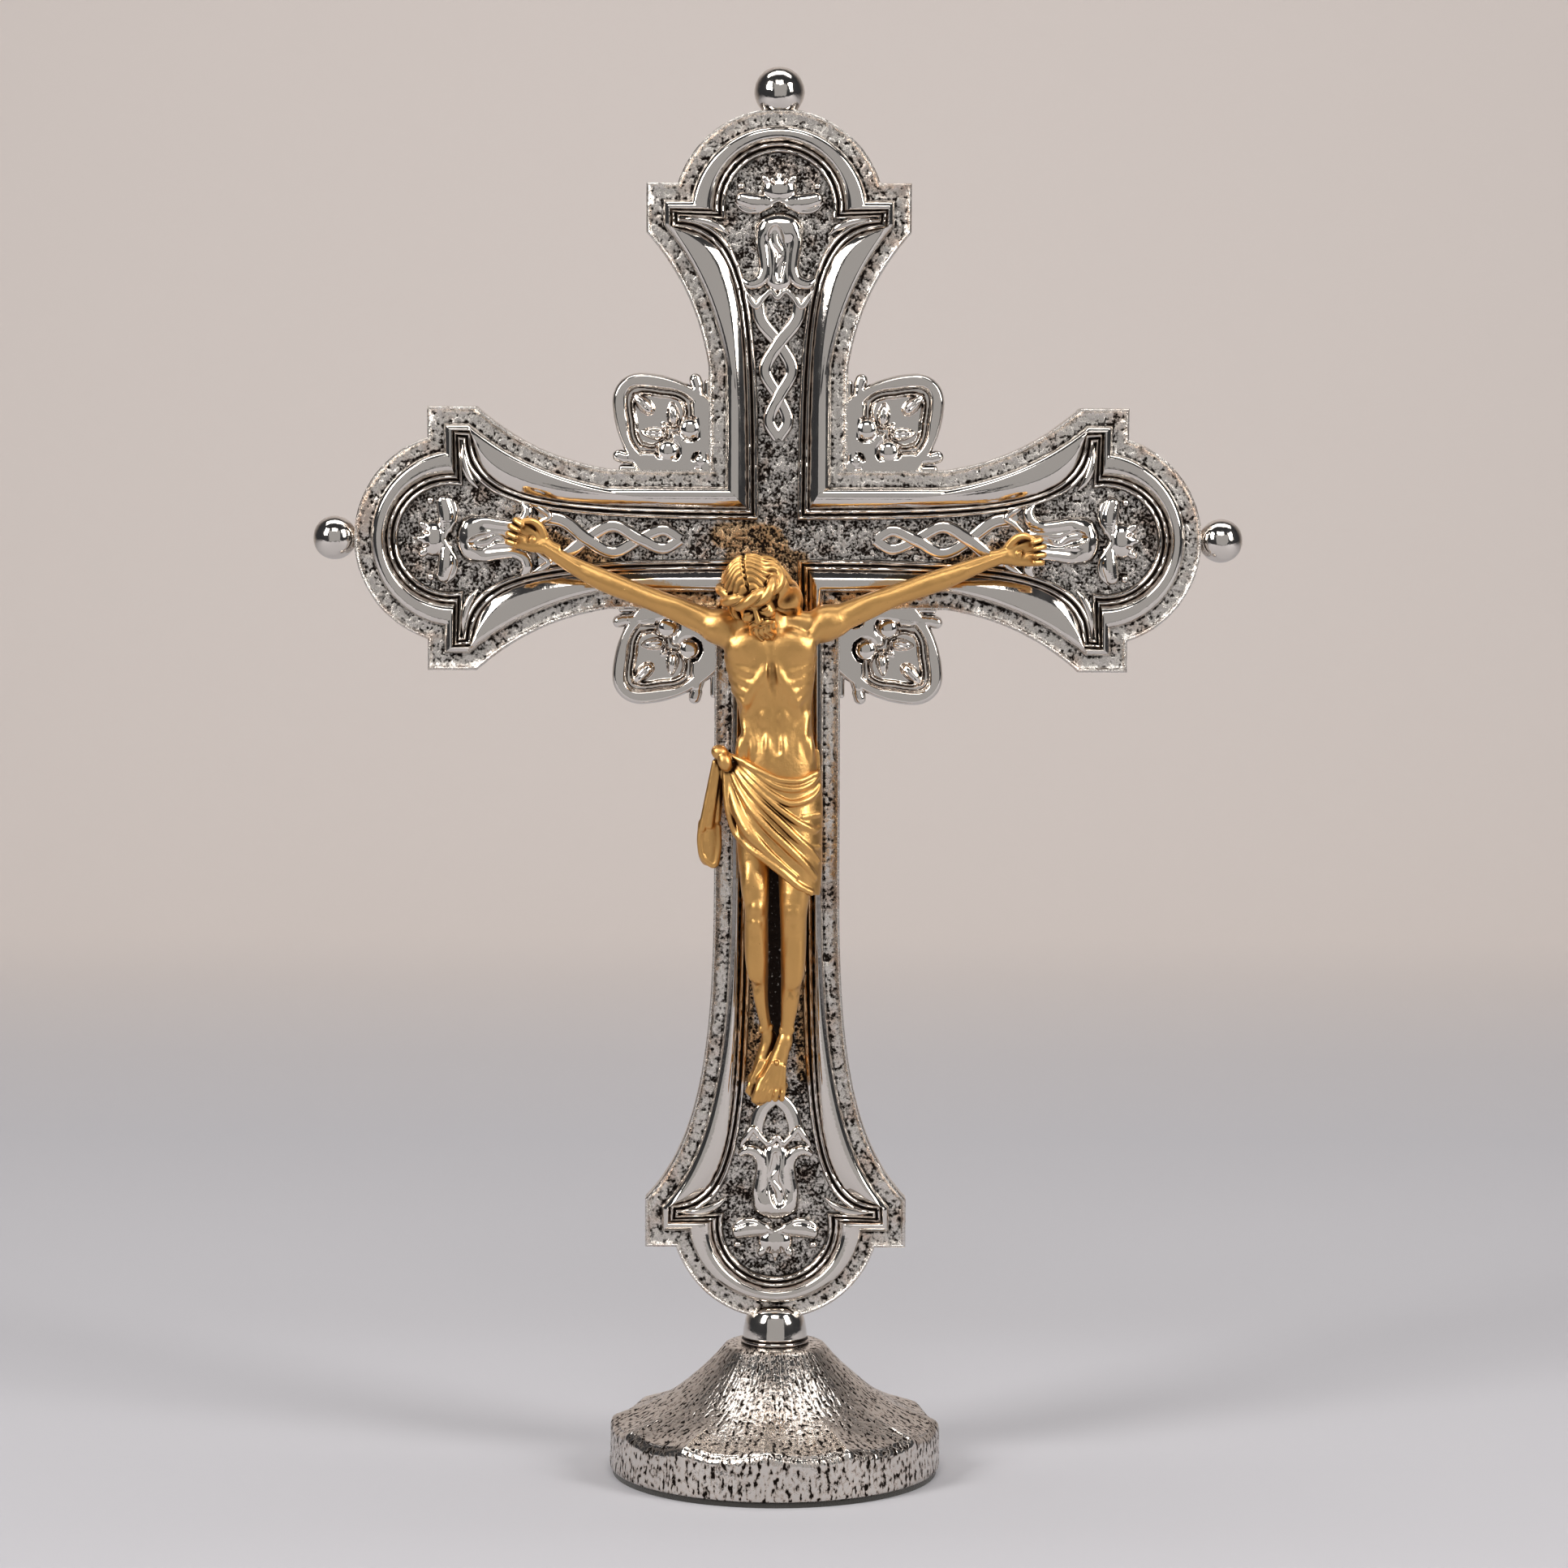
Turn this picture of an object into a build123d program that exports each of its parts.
"""A standing crucifix: a cast cross with budded ends, a gilded corpus and a scooped round foot.

Row frame in millimetres: +Z up, the front of the cross looks along -Y, and the origin is the
middle of the felt on which the foot rests. On the cross, "depth" is how far a face stands
towards the viewer, so a face at depth 2 lies at y = -2.
"""

import math
import os

from build123d import *

# ---- driving dimensions -------------------------------------------------------------------
CROSSING_Z = 174.0  # height of the middle of the crossing

PLATE_BACK = -2.5  # depth of the flat back of the cross
FLANGE_DEPTH = 2.0  # depth of the rough flange round the edge
FIELD_DEPTH = 1.6  # depth of the sunk rough field inside the moulding
CREST_DEPTH = 4.2  # depth of the crest of the polished moulding
FLANGE_WIDTH = 3.0
MOULDING_STEP = 0.9

ARM_HALF = 12.8  # half width of the upper and side arms beside the crossing
STEM_HALF = 11.6  # half width of the lower arm beside the crossing
TOP_REACH = 65.0  # crossing to the outer edge of the ears, per arm
SIDE_REACH = 64.3
FOOT_REACH = 131.5

EAR_HALF = 24.3  # half width across the ears
EAR_LENGTH = 9.0
LOBE_HALF_CHORD = 18.7
LOBE_RISE = 13.5
SHORT_FLARE = 24.3  # how far before the ears an arm starts to widen
LONG_FLARE = 60.0
LOBE_RADIUS = (LOBE_RISE**2 + LOBE_HALF_CHORD**2) / (2 * LOBE_RISE)

FIELD_HALF = 3.5  # half width of the field at the crossing
FIELD_LOBE_RADIUS = 11.4
FIELD_LOBE_INSET = 4.4  # ears' outer edge back to the centre of the field's lobe
HORN_HALF = 17.8  # half width across the pointed horns of the field
HORN_INSET = 6.4

BALL_RADIUS = 4.2
BALL_BITE = 0.8  # how deep a ball is let into the lobe behind it
SPIGOT_RADIUS = 1.0
SPIGOT_LENGTH = 5.0

FELT_THICKNESS = 1.0
FELT_RADIUS = 30.2
FOOT_RADIUS = 30.8
RIM_Z = 9.2
FOOT_TOP_Z = 24.3
FOOT_TOP_RADIUS = 9.4
FOOT_WALL = 2.6
SCOOPS = 12
SCOOP_RADIUS = 7.5

KNOP_RADIUS = 6.3
KNOP_TOP_Z = 31.4
ROD_RADIUS = 1.5
ROD_CLEARANCE = 0.05
ROD_Y = 0.25  # the rod runs in the middle of the plate's thickness
ROD_BOTTOM_Z = 14.0
ROD_TOP_Z = 37.0
WASHER_THICKNESS = 0.8
NUT_HEIGHT = 2.4
NUT_ACROSS_FLATS = 5.5

PIN_RADIUS = 0.8
PIN_HEAD_RADIUS = 1.7
PIN_HEAD_HEIGHT = 0.7


# ---- helpers ------------------------------------------------------------------------------
def slab(outline, back, front):
    """A flat solid with this front outline, from depth back to depth front."""
    return extrude(Plane.XZ.offset(back) * outline, front - back)


def lying_to(arm, distance, across):
    """A point of the front view, from its distance out along an arm and its place across it."""
    turned = {
        "top": (across, distance),
        "bottom": (-across, -distance),
        "right": (distance, -across),
        "left": (-distance, across),
    }
    x, z = turned[arm]
    return (x, CROSSING_Z + z)


def along(arm, shape):
    """Turns and moves a shape drawn about the crossing as if for the top arm."""
    turn = {"top": 0, "right": -90, "bottom": 180, "left": 90}[arm]
    return Pos(0, 0, CROSSING_Z) * Rot(0, -turn, 0) * shape


def joined(pieces):
    """One solid from several that overlap."""
    whole = pieces[0]
    for piece in pieces[1:]:
        whole = whole + piece
    return whole


# ---- the cross ----------------------------------------------------------------------------
ARMS = {
    "top": (TOP_REACH, ARM_HALF, SHORT_FLARE),
    "right": (SIDE_REACH, ARM_HALF, SHORT_FLARE),
    "bottom": (FOOT_REACH, STEM_HALF, LONG_FLARE),
    "left": (SIDE_REACH, ARM_HALF, SHORT_FLARE),
}


def flare(reach, half, length):
    """Control points of the hollow curve from an arm's straight edge to the ear's inner corner."""
    ear = reach - EAR_LENGTH
    if length == LONG_FLARE:
        return [(ear - length, half), (ear - 30, half), (ear - 11, 13.6), (ear, EAR_HALF)]
    return [(ear - length, half), (ear - 15.5, 14.3), (ear - 8, 17.2), (ear, EAR_HALF)]


def arm_edge(arm, before, after, inset):
    """The outline of one arm, clockwise, between the half widths of its two neighbours."""
    reach, half, length = ARMS[arm]
    shifts = ((0.0, -1.0), (0.2, -0.97), (0.66, -0.75), (0.38, -1.0))
    curve = []
    for (distance, across), (along_shift, across_shift) in zip(flare(reach, half, length), shifts):
        curve.append((distance + inset * along_shift, across + inset * across_shift))
    ear_top = reach - inset
    ear_half = EAR_HALF - inset
    centre = reach + LOBE_RISE - LOBE_RADIUS
    half_chord = math.sqrt((LOBE_RADIUS - inset) ** 2 - (ear_top - centre) ** 2)

    def put(distance, across):
        return lying_to(arm, distance, across)

    def side(sign):
        return [put(distance, sign * across) for distance, across in curve]

    left, right = side(-1), side(1)
    chord = [put(ear_top, -half_chord), put(ear_top, half_chord)]
    return [
        Line(put(before - inset, inset - half), left[0]),
        Bezier(*left),
        Line(left[-1], put(ear_top, -ear_half)),
        Line(put(ear_top, -ear_half), chord[0]),
        ThreePointArc(chord[0], put(reach + LOBE_RISE - inset, 0), chord[1]),
        Line(chord[1], put(ear_top, ear_half)),
        Line(put(ear_top, ear_half), right[-1]),
        Bezier(*reversed(right)),
        Line(right[0], put(after - inset, half - inset)),
    ]


def cross_outline(inset=0.0):
    """The edge of the cross, or a line parallel with it inside."""
    edges = arm_edge("top", ARM_HALF, ARM_HALF, inset)
    edges += arm_edge("right", ARM_HALF, STEM_HALF, inset)
    edges += arm_edge("bottom", ARM_HALF, ARM_HALF, inset)
    edges += arm_edge("left", STEM_HALF, ARM_HALF, inset)
    return make_face(edges)


def field_edge(arm):
    """The edge of the sunk field in one arm, with its two horns and its lobe, clockwise."""
    reach, _, length = ARMS[arm]
    ear = reach - EAR_LENGTH
    centre = reach - FIELD_LOBE_INSET
    foot = centre - 4.4  # where the lobe's circle meets the horn
    foot_half = math.sqrt(FIELD_LOBE_RADIUS**2 - (centre - foot) ** 2)
    horn = (reach - HORN_INSET, HORN_HALF)
    if length == LONG_FLARE:
        start = (ear - 51, 5.2)
        curve = [start, (ear - 22, 5.8), (ear - 5, 6.6), horn]
    else:
        start = (ear - 40, FIELD_HALF + 0.2)
        curve = [start, (ear - 17, 4.2), (ear - 5, 8.6), horn]

    def put(distance, across):
        return lying_to(arm, distance, across)

    def side(sign):
        return [put(distance, sign * across) for distance, across in curve]

    left, right = side(-1), side(1)
    arc = [put(foot, -foot_half), put(centre + FIELD_LOBE_RADIUS, 0), put(foot, foot_half)]
    return [
        Line(put(FIELD_HALF, -FIELD_HALF), left[0]),
        Bezier(*left),
        Line(left[-1], arc[0]),
        ThreePointArc(*arc),
        Line(arc[2], right[-1]),
        Bezier(*reversed(right)),
        Line(right[0], put(FIELD_HALF, FIELD_HALF)),
    ]


def field_outline():
    """The inner edge of the moulding all round."""
    return make_face([edge for arm in ARMS for edge in field_edge(arm)])


def moulding(field):
    """The raised polished moulding, stepped back once at its outer edge."""
    ring = slab(cross_outline(FLANGE_WIDTH), FIELD_DEPTH, CREST_DEPTH - MOULDING_STEP)
    ring += slab(cross_outline(FLANGE_WIDTH + MOULDING_STEP), FIELD_DEPTH, CREST_DEPTH)
    return ring - slab(field, FIELD_DEPTH - 1, CREST_DEPTH + 1)


def rod_hole(radius):
    """The space for the tie rod, from under the foot to inside the plate."""
    length = ROD_TOP_Z - ROD_BOTTOM_Z
    return Pos(0, ROD_Y, ROD_BOTTOM_Z + length / 2) * Cylinder(radius, length)


def cross_body(outer, field):
    """The cast cross: rough flange, polished moulding and sunk field in one casting."""
    plate = slab(outer, PLATE_BACK, FLANGE_DEPTH)
    plate -= slab(field, FIELD_DEPTH, FLANGE_DEPTH + 1)
    body = plate + moulding(field)
    body -= rod_hole(ROD_RADIUS)
    for place in PIN_PLACES.values():
        body -= pin_shank(place)
    for arm in ("top", "left", "right"):
        body -= along(arm, ball_spigot(ARMS[arm][0]))
    return body


# ---- the ball finials ---------------------------------------------------------------------
def ball_centre(reach):
    """Distance from the crossing to the middle of a ball."""
    return reach + LOBE_RISE + BALL_RADIUS - BALL_BITE


def ball_spigot(reach):
    """The screwed spigot of a ball finial, drawn for the top arm."""
    low = reach + LOBE_RISE - SPIGOT_LENGTH
    high = ball_centre(reach)
    return Pos(0, 0, (low + high) / 2) * Cylinder(SPIGOT_RADIUS, high - low)


def ball_finial(arm, outer):
    """A turned ball seated on the edge of a lobe, with the spigot that goes into it."""
    reach = ARMS[arm][0]
    ball = along(arm, Pos(0, 0, ball_centre(reach)) * Sphere(BALL_RADIUS))
    ball -= slab(outer, PLATE_BACK - 5, FLANGE_DEPTH + 5)
    return ball + along(arm, ball_spigot(reach))


# ---- the leaves in the corners of the crossing ----------------------------------------------
def leaf_outline():
    """A pointed leaf with a curled tab at each side, in the corner above and right of the crossing."""
    inner = 9.0  # runs under the cross, and is trimmed to it
    tab, notch, tip = (15.6, 30.6), (16.3, 28.4), (29.5, 29.5)

    def swapped(point):
        return (point[1], point[0])

    return make_face(
        [
            Line((inner, inner), (inner, 31.0)),
            Line((inner, 31.0), tab),
            Line(tab, notch),
            ThreePointArc(notch, (22.6, 30.6), tip),
            ThreePointArc(tip, (30.6, 22.6), swapped(notch)),
            Line(swapped(notch), swapped(tab)),
            Line(swapped(tab), (31.0, inner)),
            Line((31.0, inner), (inner, inner)),
        ]
    )


def leaf_petals():
    """The three petals of the small flower on a leaf."""
    petals = []
    for turn, reach in ((0, 6.0), (52, 4.6), (-52, 4.6)):
        direction = math.radians(45 + turn)
        middle = (20.5 + reach * math.cos(direction), 20.5 + reach * math.sin(direction))
        petals.append(Pos(*middle) * Rot(0, 0, 45 + turn) * Ellipse(3.3, 1.5))
    return petals


def corner_leaf(mirror_x, mirror_z, outer):
    """One cast leaf, soldered into a corner of the crossing."""
    outline = leaf_outline()
    leaf = slab(outline, -1.8, 1.5)
    leaf += slab(outline, 1.5, 2.5) - slab(offset(outline, -1.8), 1.4, 2.6)
    for petal in leaf_petals():
        leaf += slab(petal, 1.4, 2.4)
    if mirror_x:
        leaf = leaf.mirror(Plane.YZ)
    if mirror_z:
        leaf = leaf.mirror(Plane.XY)
    return Pos(0, 0, CROSSING_Z) * leaf - slab(outer, PLATE_BACK - 1, CREST_DEPTH + 1)


# ---- the lily sprays on the field -------------------------------------------------------------
def trefoil(reach):
    """Three-petalled flower head in the lobe, drawn for the top arm."""
    middle = reach - 2.6
    head = Pos(0, middle + 1.6) * Ellipse(2.6, 3.4)
    petals = [Pos(sign * 4.6, middle - 0.6) * Ellipse(3.2, 1.9) for sign in (-1, 1)]
    sepal = Pos(0, middle - 1.2) * Ellipse(3.4, 1.4)
    return slab(head + petals[0] + petals[1] + sepal, FIELD_DEPTH, 3.2)


def bell(reach):
    """Bell of the lily: a rounded crown, a narrower waist and two turned-up lips."""
    crown, waist, lip = reach - 6.6, reach - 17.0, reach - 22.2
    right = [
        (4.1, crown - 4.2),
        (3.0, waist + 4.0),
        (3.2, waist),
        (6.1, lip + 3.0),
        (5.6, lip + 1.2),
        (3.4, lip + 0.4),
        (0.0, lip + 2.6),
    ]
    left = [(-x, z) for x, z in reversed(right[:-1])]
    outline = make_face(
        [
            ThreePointArc(left[-1], (0, crown), right[0]),
            Spline(*right[:4]),
            Line(right[3], right[4]),
            Line(right[4], right[5]),
            Line(right[5], right[6]),
            Line(right[6], left[0]),
            Line(left[0], left[1]),
            Line(left[1], left[2]),
            Spline(*left[2:]),
        ]
    )
    return slab(outline, FIELD_DEPTH, 3.3)


def braid(reach, loops):
    """Chain of pointed links where two stems twist together, shrinking towards the crossing."""
    links = []
    start = reach - 24.4
    for length, half in loops:
        middle = start - length / 2
        link = Pos(0, middle) * (
            Ellipse(half + 0.5, length / 2 + 0.3) - Ellipse(half - 0.6, length / 2 - 0.9)
        )
        links.append(slab(link, FIELD_DEPTH, 2.9))
        start -= length - 0.2
    return joined(links)


SHORT_BRAID = ((9.0, 2.9), (8.2, 2.5), (6.4, 2.1))
FOOT_BRAID = ((8.0, 2.9),)


def lily_spray(arm):
    """Flower head, bell and twisted stems of one arm, as three applied castings."""
    reach = ARMS[arm][0]
    loops = FOOT_BRAID if arm == "bottom" else SHORT_BRAID
    pieces = [along(arm, piece) for piece in (trefoil(reach), bell(reach), braid(reach, loops))]
    pins = [pin_shank(place) for place in PIN_PLACES.values()]
    return [piece - pins for piece in pieces]


# ---- the corpus -------------------------------------------------------------------------------
PIN_PLACES = {  # x, z from the crossing, and the depth that each pin reaches
    "left_hand": (-43.6, 0.6, 5.0),
    "right_hand": (44.2, -0.8, 5.0),
    "feet": (-0.4, -97.5, 6.2),
}


def pin_shank(place):
    """The shank of one fixing pin, through the plate and into the corpus."""
    x, z, depth = place
    length = depth - PLATE_BACK
    middle = PLATE_BACK + length / 2
    return Pos(x, -middle, CROSSING_Z + z) * Rot(90, 0, 0) * Cylinder(PIN_RADIUS, length)


def pin_head(place):
    """The riveted head of one fixing pin, on the back of the cross."""
    x, z, _ = place
    middle = PLATE_BACK - PIN_HEAD_HEIGHT / 2
    return (
        Pos(x, -middle, CROSSING_Z + z)
        * Rot(90, 0, 0)
        * Cylinder(PIN_HEAD_RADIUS, PIN_HEAD_HEIGHT)
    )


def body_point(x, depth, z):
    """A point of the corpus, from its place across, its depth and its height above the crossing."""
    return Vector(x, -depth, CROSSING_Z + z)


def limb(start, start_radius, end, end_radius):
    """A tapered limb with a round end at start."""
    run = end - start
    plane = Plane(origin=start, z_dir=run)
    if abs(start_radius - end_radius) < 1e-6:
        shaft = Solid.make_cylinder(start_radius, run.length, plane)
    else:
        shaft = Solid.make_cone(start_radius, end_radius, run.length, plane)
    return shaft + Pos(*start) * Sphere(start_radius)


def limbs(stations):
    """A chain of tapered limbs through stations of (point, radius), rounded at both ends."""
    pieces = []
    for (start, r0), (end, r1) in zip(stations, stations[1:]):
        pieces.append(limb(start, r0, end, r1))
    last, radius = stations[-1]
    pieces.append(Pos(*last) * Sphere(radius))
    return joined(pieces)


def ellipse_stack(sections):
    """A smooth body through level ellipses of (x, depth, z, half width, half depth)."""
    rings = []
    for x, depth, z, half_width, half_depth in sections:
        rings.append(Pos(*body_point(x, depth, z)) * Ellipse(half_width, half_depth))
    return loft(rings)


def corpus():
    """The gilded figure: bowed head, raised arms, draped hips and crossed feet, in one casting."""
    torso = ellipse_stack(
        [
            (-0.6, 8.0, -14.6, 7.4, 3.1),
            (-0.4, 8.4, -20.0, 7.9, 3.8),
            (-0.2, 8.4, -25.5, 7.5, 3.8),
            (0.2, 8.0, -32.5, 6.3, 3.2),
            (0.3, 8.2, -38.5, 7.4, 3.7),
        ]
    )
    drape = ellipse_stack(
        [
            (0.3, 8.2, -37.6, 7.9, 3.9),
            (0.4, 8.6, -45.0, 8.4, 4.2),
            (0.6, 9.0, -52.0, 8.1, 4.3),
            (1.6, 9.4, -60.0, 6.6, 3.9),
        ]
    )
    fall = limbs(
        [
            (body_point(-8.6, 8.0, -38.4), 2.2),
            (body_point(-10.2, 7.6, -47.0), 2.1),
            (body_point(-11.4, 7.2, -56.0), 2.4),
        ]
    )
    neck = limbs([(body_point(-0.6, 9.0, -14.6), 2.6), (body_point(-1.6, 10.4, -10.4), 2.5)])
    head = limbs([(body_point(-2.9, 11.4, -6.2), 5.0), (body_point(-1.4, 13.4, -13.2), 3.0)])
    band = Pos(*body_point(-3.1, 11.2, -4.8)) * Rot(24, -16, 0) * Torus(4.8, 0.8)
    hair = limbs([(body_point(1.4, 9.6, -5.0), 3.2), (body_point(3.4, 8.6, -12.4), 1.7)])
    left_arm = limbs(
        [
            (body_point(-7.8, 8.0, -16.4), 3.1),
            (body_point(-14.5, 7.8, -13.8), 2.6),
            (body_point(-24.0, 6.9, -10.4), 2.2),
            (body_point(-30.0, 6.7, -7.4), 2.2),
            (body_point(-38.6, 5.6, -3.0), 1.5),
            (body_point(-42.6, 5.4, 0.4), 1.9),
            (body_point(-45.2, 5.4, 2.0), 1.9),
        ]
    )
    right_arm = limbs(
        [
            (body_point(6.8, 8.0, -15.4), 3.1),
            (body_point(13.5, 7.8, -12.0), 2.6),
            (body_point(22.5, 6.9, -8.8), 2.2),
            (body_point(29.0, 6.7, -6.2), 2.2),
            (body_point(38.2, 5.6, -2.4), 1.5),
            (body_point(42.6, 5.4, -1.0), 1.9),
            (body_point(45.6, 5.4, -0.6), 1.9),
        ]
    )
    left_leg = limbs(
        [
            (body_point(-3.2, 9.2, -53.0), 3.9),
            (body_point(-3.3, 11.6, -66.5), 2.7),
            (body_point(-3.2, 9.4, -74.5), 2.7),
            (body_point(-1.9, 6.6, -90.0), 1.7),
            (body_point(-1.2, 6.4, -94.0), 1.8),
            (body_point(-3.4, 6.9, -101.4), 1.7),
        ]
    )
    right_leg = limbs(
        [
            (body_point(3.2, 9.4, -54.0), 3.9),
            (body_point(2.6, 12.4, -67.0), 2.8),
            (body_point(2.4, 10.4, -75.0), 2.8),
            (body_point(1.4, 8.2, -89.5), 1.9),
            (body_point(0.6, 8.4, -94.0), 2.0),
            (body_point(1.2, 8.0, -101.6), 1.9),
        ]
    )
    masses = [torso, drape, fall, neck, head, hair, left_arm, right_arm, left_leg, right_leg, band]
    figure = joined(masses)
    for place in PIN_PLACES.values():
        figure -= pin_shank(place)
    return figure


# ---- the foot -----------------------------------------------------------------------------------
def turned(points):
    """A solid of revolution about the vertical axis, from a closed profile of (radius, height)."""
    profile = make_face(Polyline(*points, points[0]))
    return revolve(Plane.XZ * profile, Axis.Z)


def foot_profile(inner):
    """Right half of the foot's section. The inner one is the hollow, a wall's thickness below."""
    wall = FOOT_WALL if inner else 0.0
    low = FELT_THICKNESS - (1.0 if inner else 0.0)
    swept = Spline(
        (FOOT_RADIUS - 0.6 - wall, RIM_Z - wall),
        (24.0 - wall * 0.6, 12.1 - wall),
        (15.4 - wall * 0.7, 17.9 - wall),
        (FOOT_TOP_RADIUS - wall * 0.5, FOOT_TOP_Z - 0.6 - wall * 1.4),
    )
    edges = [
        Line((0, low), (FOOT_RADIUS - wall, low)),
        Line((FOOT_RADIUS - wall, low), swept @ 0),
        swept,
        Line(swept @ 1, (0, (swept @ 1).Y)),
        Line((0, (swept @ 1).Y), (0, low)),
    ]
    return make_face(edges)


def foot():
    """The hollow cast foot, with a flat seat on top and a ring of shallow scoops in its rim."""
    outside = revolve(Plane.XZ * foot_profile(False), Axis.Z)
    outside += Pos(0, 0, FOOT_TOP_Z - 1.5) * Cylinder(FOOT_TOP_RADIUS - 0.4, 3.0)
    hollow = revolve(Plane.XZ * foot_profile(True), Axis.Z)
    body = outside - hollow
    for index in range(SCOOPS):
        turn = Rot(0, 0, 360 / SCOOPS * index)
        body -= turn * Pos(0, -FOOT_RADIUS - 1.0, RIM_Z + SCOOP_RADIUS - 1.8) * Sphere(SCOOP_RADIUS)
    return body - rod_hole(ROD_RADIUS + ROD_CLEARANCE)


def hollow_top():
    """Height of the underside of the foot's seat, where the washer bears."""
    return FOOT_TOP_Z - 0.6 - FOOT_WALL * 1.4


def felt_pad():
    """Felt disc glued under the foot. It closes the hollow."""
    return Pos(0, 0, FELT_THICKNESS / 2) * Cylinder(FELT_RADIUS, FELT_THICKNESS)


def knop(outer):
    """Domed collar between the foot and the cross, slotted for the edge of the lower lobe."""
    base = FOOT_TOP_Z
    dome = turned(
        [
            (0, base),
            (KNOP_RADIUS, base),
            (KNOP_RADIUS, base + 0.7),
            (KNOP_RADIUS - 0.3, base + 1.0),
            (KNOP_RADIUS - 0.3, base + 1.6),
            (KNOP_RADIUS - 0.6, base + 3.2),
            (KNOP_RADIUS - 1.1, base + 5.0),
            (KNOP_RADIUS - 1.9, base + 6.4),
            (KNOP_RADIUS - 3.0, KNOP_TOP_Z),
            (0, KNOP_TOP_Z),
        ]
    )
    dome -= slab(outer, PLATE_BACK, CREST_DEPTH + 5)
    return dome - rod_hole(ROD_RADIUS + ROD_CLEARANCE)


def tie_rod():
    """Screwed rod that pulls the cross and the knop down on the foot."""
    return rod_hole(ROD_RADIUS)


def tie_washer():
    """Washer under the foot's seat."""
    middle = hollow_top() - WASHER_THICKNESS / 2
    washer = Pos(0, ROD_Y, middle) * Cylinder(3.5, WASHER_THICKNESS)
    return washer - rod_hole(ROD_RADIUS + 2 * ROD_CLEARANCE)


def tie_nut():
    """Hexagon nut on the lower end of the rod."""
    low = hollow_top() - WASHER_THICKNESS - NUT_HEIGHT
    hexagon = RegularPolygon(NUT_ACROSS_FLATS / 2, 6, major_radius=False)
    nut = extrude(Pos(0, ROD_Y, low) * hexagon, NUT_HEIGHT)
    return nut - rod_hole(ROD_RADIUS)


# ---- writing ------------------------------------------------------------------------------------
def write(name, shape):
    """Writes one node. A list of shapes becomes one node of separate solids."""
    if isinstance(shape, list):
        shape = Compound(children=[solid for piece in shape for solid in piece.solids()])
    export_step(shape, f"parts/{name}.step")


def main():
    os.makedirs("parts", exist_ok=True)
    outer, field = cross_outline(), field_outline()
    write("cross_body", cross_body(outer, field))
    for arm in ("top", "left", "right"):
        write(f"ball_finial_{arm}", ball_finial(arm, outer))
    for arm in ARMS:
        write(f"lily_spray_{arm}", lily_spray(arm))
    for height, mirror_z in (("upper", False), ("lower", True)):
        for hand, mirror_x in (("right", False), ("left", True)):
            write(f"corner_leaf_{height}_{hand}", corner_leaf(mirror_x, mirror_z, outer))
    write("corpus", corpus())
    write("fixing_pins", [pin_shank(place) + pin_head(place) for place in PIN_PLACES.values()])
    write("foot", foot())
    write("felt_pad", felt_pad())
    write("knop", knop(outer))
    write("tie_rod", tie_rod())
    write("tie_washer", tie_washer())
    write("tie_nut", tie_nut())


main()
